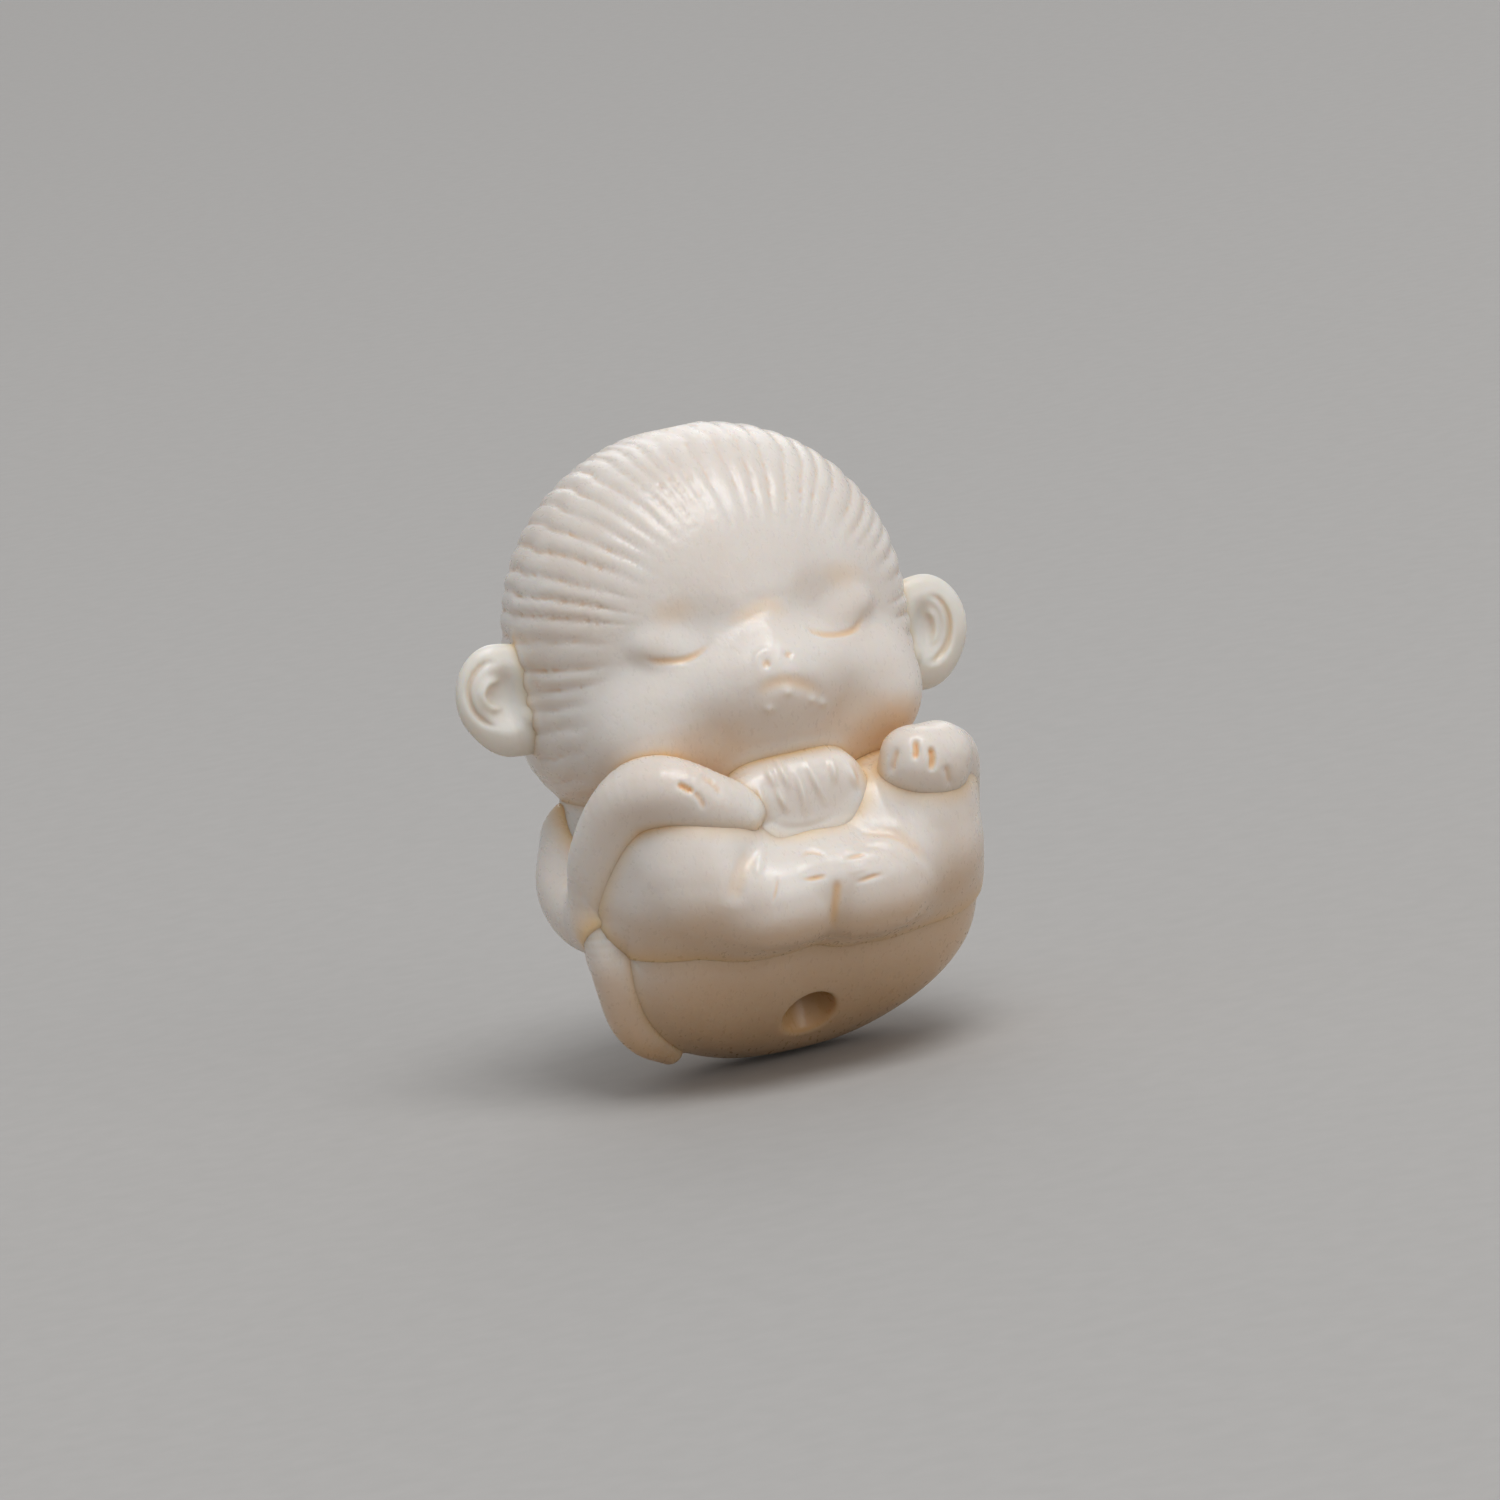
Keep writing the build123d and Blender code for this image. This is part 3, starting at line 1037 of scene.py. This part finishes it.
def left_arm() -> Carving:
    """The figure's left arm, with its fist on the knee."""
    fore = Limb(
        (
            (6.4, -2.4, 6.8, 1.05), (6.5, -3.4, 8.5, 1.0),
            (6.1, -4.8, 9.6, 1.0), (5.3, -6.0, 10.05, 1.05),
        )
    )
    fist = Lump(
        (4.5, -6.5, 10.05), 1.55, 1.3, 1.2, 1.15, 1.2,
        plan_power=2.3, up_power=2.3, down_power=2.4, turn=(0, 16, 14),
    )
    return Carving(
        name="left_arm_and_hand",
        nodes=("arm_left", "hand_left"),
        slot="tagua",
        voxel=0.075,
        under_shade_weight=0.4,
        valley=1.0,
        masses=((UPPER_ARM, 0.0), (fore, 0.35), (fist, 0.5)),
        strokes=LEFT_HAND_STROKES,
    )


RIGHT_LEG: Masses = (
    (
        Lump(
            (-3.7, -4.3, 7.5), 2.6, 3.4, 3.3, 2.55, 2.45,
            plan_power=2.2, up_power=2.5, down_power=2.3,
        ),
        0.0,
    ),
    (pebble((-5.0, -3.1, 6.75), (1.6, 2.3, 1.7)), 1.2),
    (
        Lump(
            (-1.6, -6.1, 6.45), 2.35, 2.4, 2.2, 1.8, 1.75,
            plan_power=2.3, up_power=2.4, down_power=2.5,
        ),
        1.0,
    ),
)
LEFT_LEG: Masses = (
    (
        Lump(
            (3.9, -4.1, 7.4), 2.9, 3.4, 3.3, 2.7, 3.0,
            plan_power=2.2, up_power=2.4, down_power=2.3,
        ),
        0.0,
    ),
    (pebble((5.2, -3.0, 6.3), (1.6, 2.3, 1.9)), 1.2),
    (
        Lump(
            (1.6, -6.1, 6.4), 2.35, 2.4, 2.2, 1.85, 1.95,
            plan_power=2.3, up_power=2.4, down_power=2.5,
        ),
        1.0,
    ),
)


FEET_STROKES = (
    Stroke(
        ((757, 838), (748, 856), (740, 875), (735, 892), (731, 908)),
        width=0.32, depth=0.1, fade=0.3, tint=0.0,
    ),
    Stroke(((764, 843), (759, 862), (757, 880)), width=0.16, depth=-0.06, fade=0.4),
    Stroke(((779, 874), (776, 890), (772, 907)), width=0.06, depth=0.04, fade=0.4, tint=0.4),
    Stroke(
        ((847, 842), (860, 834), (876, 832), (895, 834), (911, 843), (924, 858), (933, 876)),
        width=0.2, depth=0.11, fade=0.3, tint=0.0,
    ),
    Stroke(
        ((852, 851), (866, 846), (880, 847), (897, 856), (910, 874)),
        width=0.18, depth=0.07, fade=0.3, tint=0.0,
    ),
    Stroke(((796, 857), (812, 852), (828, 857)), width=0.09, depth=0.05, fade=0.4, tint=0.3),
    Stroke(
        ((796, 878), (809, 879), (821, 877), (829, 875)),
        width=0.08, depth=0.05, fade=0.45, tint=0.6,
    ),
    Stroke(
        ((838, 878), (837, 893), (835, 910), (832, 935)),
        width=0.15, depth=0.06, fade=0.25, tint=0.55,
    ),
    Stroke(
        ((843, 859), (852, 857), (861, 855), (869, 853)),
        width=0.08, depth=0.04, fade=0.45, tint=0.5,
    ),
    Stroke(
        ((853, 884), (864, 880), (875, 876), (887, 874)),
        width=0.08, depth=0.05, fade=0.45, tint=0.6,
    ),
    Stroke(((795, 868), (812, 866), (828, 867)), width=0.2, depth=-0.03, fade=0.4),
    Stroke(((845, 873), (858, 869), (872, 865)), width=0.16, depth=-0.03, fade=0.4),
)


def legs() -> Legs:
    """Both legs, drawn up, with the feet turned in to the middle."""
    return Legs(
        name="legs_and_feet",
        nodes=("leg_right", "foot_right", "leg_left", "foot_left"),
        slot="tagua",
        voxel=0.095,
        valley=1.4,
        under_shade_weight=0.9,
        masses=RIGHT_LEG,
        other_masses=LEFT_LEG,
        fine_frames=((735, 835, 940, 945),),
        strokes=FEET_STROKES,
    )


def rump() -> Rump:
    """The torso and the seat, with the lower end of the bore."""
    torso = Lump((0.0, 0.5, 8.0), 6.25, 5.2, 5.5, 4.4, 4.6, plan_power=2.1, up_power=2.4)
    seat = Lump(
        (0.3, -1.5, 4.8), 6.6, 4.75, 5.7, 3.4, 5.0,
        plan_power=3.0, up_power=2.0, down_power=2.0,
    )
    return Rump(
        name="rump",
        nodes=("torso", "seat"),
        slot="tagua",
        voxel=0.115,
        masses=((torso, 0.0), (seat, 1.2)),
        bore=Bore(),
        fine_frames=((770, 985, 850, 1050),),
    )


def tail() -> Carving:
    """The tail, laid round the right side of the rump."""
    strand = Limb(
        (
            (-6.5, -2.9, 6.9, 0.5), (-6.6, -3.0, 5.4, 0.75), (-6.45, -2.8, 4.15, 0.75),
            (-6.1, -2.3, 2.8, 0.68), (-5.45, -1.8, 1.85, 0.58), (-4.5, -1.2, 1.1, 0.38),
        )
    )
    return Carving(
        name="tail_strand", nodes=("tail",), slot="tagua", voxel=0.075, masses=((strand, 0.0),)
    )


# Finishes


Tree = bpy.types.NodeTree
Socket = bpy.types.NodeSocket


def linear(code: str) -> tuple[float, float, float, float]:
    """Turns an sRGB hex code into the linear colour that a shader takes."""
    channels = [int(code[i : i + 2], 16) / 255 for i in (1, 3, 5)]
    return (*(c / 12.92 if c <= 0.04045 else ((c + 0.055) / 1.055) ** 2.4 for c in channels), 1.0)


def add(tree: Tree, kind: str, links: dict | None = None, **settings: object) -> bpy.types.Node:
    """Adds a node with its settings and links.

    Args:
        tree: The node tree it goes into.
        kind: The node's type, without its ShaderNode prefix.
        links: For each input, by name or number, the socket that feeds it or its value.
        settings: The node's own properties.

    Returns:
        The node.
    """
    node = tree.nodes.new(f"ShaderNode{kind}")
    for key, value in settings.items():
        setattr(node, key, value)
    for key, value in (links or {}).items():
        if isinstance(value, Socket):
            tree.links.new(value, node.inputs[key])
        else:
            node.inputs[key].default_value = value
    return node


@dataclass(frozen=True)
class PolishedTagua:
    """Tagua nut, knife-carved, sanded and polished to a satin.

    It looks like ivory: cream, a little pink and lit from within near its edges. The knife's
    creases are warmer, partly the skin of the nut showing through and partly painted warm shade;
    hollows and undersides get painted warm shade.
    """

    name: str = "polished_tagua"
    body: str = "#E6E0DA"
    cloud: str = "#E0D6CD"
    # Painted shade in hollows
    hollow: str = "#E0BF97"
    # The crease colour: patina in the cuts and painted shade
    crease: str = "#F0C68C"
    # Painted shade on undersides and in the bore
    shade: str = "#C9A070"
    depth: float = 0.75
    roughness: float = 0.29
    glow: float = 0.6
    hollow_shade_share: float = 0.5
    crease_share: float = 0.8

    def make(self) -> bpy.types.Material:
        """Builds the material."""
        material = bpy.data.materials.new(self.name)
        material.use_nodes = True
        tree = material.node_tree
        tree.nodes.clear()
        spot = add(tree, "TexCoord").outputs["Object"]
        # Growth clouds in the nut, about 3 mm across
        clouds = add(tree, "TexNoise", {"Vector": spot, "Scale": 330.0, "Detail": 3.0})
        clouding = add(tree, "MapRange", {0: clouds.outputs["Fac"], 1: 0.35, 2: 0.68})
        ground = self.mix(tree, clouding.outputs[0], linear(self.body), linear(self.cloud))
        # Painted shade in hollows and on undersides, and the crease colour: patina in the cuts
        # with painted shade in the creases
        layers = (
            ("hollow", (0.28, 0.95), self.hollow_shade_share, self.hollow),
            ("crease", (0.1, 0.9), self.crease_share, self.crease),
            ("under", (0.0, 1.0), 1.0, self.shade),
        )
        for name, spread, share, tone in layers:
            carved = self.attribute(tree, name, *spread)
            toned = add(tree, "Math", {0: carved, 1: share}, operation="MULTIPLY")
            ground = self.mix(tree, toned.outputs[0], ground, linear(tone))
        # Scraper marks about 0.15 mm apart, and polish that is a little uneven
        stretched = add(
            tree, "Mapping",
            {"Vector": spot, "Rotation": (0.3, 0.5, 0.4), "Scale": (1, 0.25, 0.6)},
        )
        grain = {"Vector": stretched.outputs[0], "Scale": 6500.0, "Detail": 4.0, "Roughness": 0.6}
        marks = add(tree, "TexNoise", grain).outputs["Fac"]
        smooth, rough = self.roughness - 0.05, self.roughness + 0.09
        sheen = add(tree, "MapRange", {0: marks, 1: 0.3, 2: 0.7, 3: smooth, 4: rough})
        waves = add(tree, "TexNoise", {"Vector": spot, "Scale": 1400.0, "Detail": 2.0})
        swell = {"Height": waves.outputs["Fac"], "Strength": 0.22, "Distance": 0.12 * MM}
        broad = add(tree, "Bump", swell).outputs[0]
        scrape = {"Height": marks, "Strength": 0.2, "Distance": 0.03 * MM, "Normal": broad}
        fine = add(tree, "Bump", scrape).outputs[0]
        shader = add(
            tree, "BsdfPrincipled",
            {
                "Base Color": ground, "Roughness": sheen.outputs[0], "IOR": 1.53,
                "Subsurface Weight": self.glow, "Subsurface Radius": (1.0, 0.72, 0.48),
                "Subsurface Scale": self.depth * MM, "Normal": fine,
            },
        )
        add(tree, "OutputMaterial", {"Surface": shader.outputs[0]})
        return material

    @staticmethod
    def mix(tree: Tree, share: Socket, low: object, high: object) -> Socket:
        """Mixes two colours by a share and gives the result's socket."""
        node = add(tree, "Mix", {0: share, 6: low, 7: high}, data_type="RGBA")
        return node.outputs[2]

    @staticmethod
    def attribute(tree: Tree, name: str, low: float, high: float) -> Socket:
        """One of the piece's colour attributes, spread from 0 at low to 1 at high; crease, hollow
        and under carry painted shade.
        """
        carved = add(tree, "Attribute", attribute_name=name).outputs["Fac"]
        return add(tree, "MapRange", {0: carved, 1: low, 2: high}).outputs[0]


class Finish(Enum):
    """The two finishes of the bead."""

    BODY = PolishedTagua()
    # The ears' hollow and shade tones are painted shade too, and their crease tone is patina with
    # painted shade
    EARS = PolishedTagua(
        "pale_polished_tagua", body="#E4E1DB", cloud="#DCD8D0", hollow="#D8CCB8",
        crease="#D6BC90", shade="#C2AC8E", depth=0.9, roughness=0.34,
    )


# Setting


@dataclass(frozen=True)
class Setting:
    """A pale matt floor and plain soft light."""

    floor_radius: float = 3.0
    floor_tone: str = "#B1AFAD"
    grain: str = "#A9A7A5"
    backdrop: str = "#B9B6B3"
    ambient: float = 0.38
    aim: Point = (0.0, -0.001, 0.011)

    def build(self) -> None:
        """Builds the floor, the lamps and the world."""
        self.floor()
        self.lamp("key", (0.1, -0.55, 1.4), size=0.8, power=12.0)
        self.lamp("fill", (0.5, -1.5, 0.5), size=1.0, power=4.2)
        self.lamp("rim", (0.5, 1.2, 0.9), size=1.0, power=4.0)
        self.world()

    def floor(self) -> None:
        """A floor that runs on behind the figure, in matt card."""
        sheet = bmesh.new()
        bmesh.ops.create_circle(sheet, cap_ends=True, segments=96, radius=self.floor_radius)
        floor = as_object(sheet, "floor")
        material = bpy.data.materials.new("pale_matt_card")
        material.use_nodes = True
        tree = material.node_tree
        tree.nodes.clear()
        spot = add(tree, "TexCoord").outputs["Object"]
        fibre = add(tree, "TexNoise", {"Vector": spot, "Scale": 900.0, "Detail": 4.0})
        tones = {0: fibre.outputs["Fac"], 6: linear(self.floor_tone), 7: linear(self.grain)}
        tone = add(tree, "Mix", tones, data_type="RGBA").outputs[2]
        shader = add(tree, "BsdfPrincipled", {"Base Color": tone, "Roughness": 0.9})
        add(tree, "OutputMaterial", {"Surface": shader.outputs[0]})
        floor.data.materials.append(material)

    def lamp(self, name: str, place: Point, size: float, power: float) -> None:
        """Adds a soft square lamp that points at the figure.

        Args:
            name: The lamp's name.
            place: Where it hangs, in metres.
            size: The side of the square, in metres.
            power: Its power in watts.
        """
        data = bpy.data.lights.new(name, "AREA")
        data.size, data.energy = size, power
        lamp = bpy.data.objects.new(name, data)
        aim = Vector(self.aim) - Vector(place)
        turn = aim.to_track_quat("-Z", "Y").to_matrix().to_4x4()
        lamp.matrix_world = Matrix.Translation(place) @ turn
        bpy.context.scene.collection.objects.link(lamp)

    def world(self) -> None:
        """Plain pale surroundings."""
        world = bpy.data.worlds.new("surroundings")
        world.use_nodes = True
        tree = world.node_tree
        tree.nodes.clear()
        camera_ray = add(tree, "LightPath").outputs["Is Camera Ray"]
        soft, seen = (
            add(tree, "Background", {"Color": color, "Strength": strength}).outputs[0]
            for color, strength in (
                ((1.0, 1.0, 1.0, 1.0), self.ambient), (linear(self.backdrop), 1.0)
            )
        )
        both = add(tree, "MixShader", {0: camera_ray, 1: soft, 2: seen})
        add(tree, "OutputWorld", {"Surface": both.outputs[0]})
        bpy.context.scene.world = world
        bpy.context.scene.view_settings.view_transform = "Standard"


# The figure


def main() -> None:
    """Carves every piece, finishes it and sets the scene."""
    logging.basicConfig(level=logging.INFO, format="%(message)s")
    VIEW.place_camera()
    pieces = [
        head(),
        ear("ear_left", side=1.0, drop=0.7, stretch=1.02),
        ear("ear_right", side=-1.0, drop=-0.1, stretch=1.0),
        tuft(), right_arm(), left_arm(), legs(), rump(), tail(),
    ]

    def around(points: Array) -> Array:
        """About how far points lie from the nearest piece."""
        return np.minimum.reduce([piece.distance(points) for piece in pieces])

    def besides(piece: Carving) -> Form:
        """About how far points lie from the nearest piece but this one."""
        others = [other for other in pieces if other is not piece]
        return lambda points: np.minimum.reduce(
            [other.distance(points, reach=1.0) for other in others]
        )

    finishes = {"tagua": Finish.BODY.value.make(), "pale_tagua": Finish.EARS.value.make()}
    for piece in pieces:
        piece.shape()
    for piece in pieces:
        piece.cut(besides(piece))
    for piece in pieces:
        piece.dress(around, finishes[piece.slot])
    Setting().build()


if __name__ == "__main__":
    main()
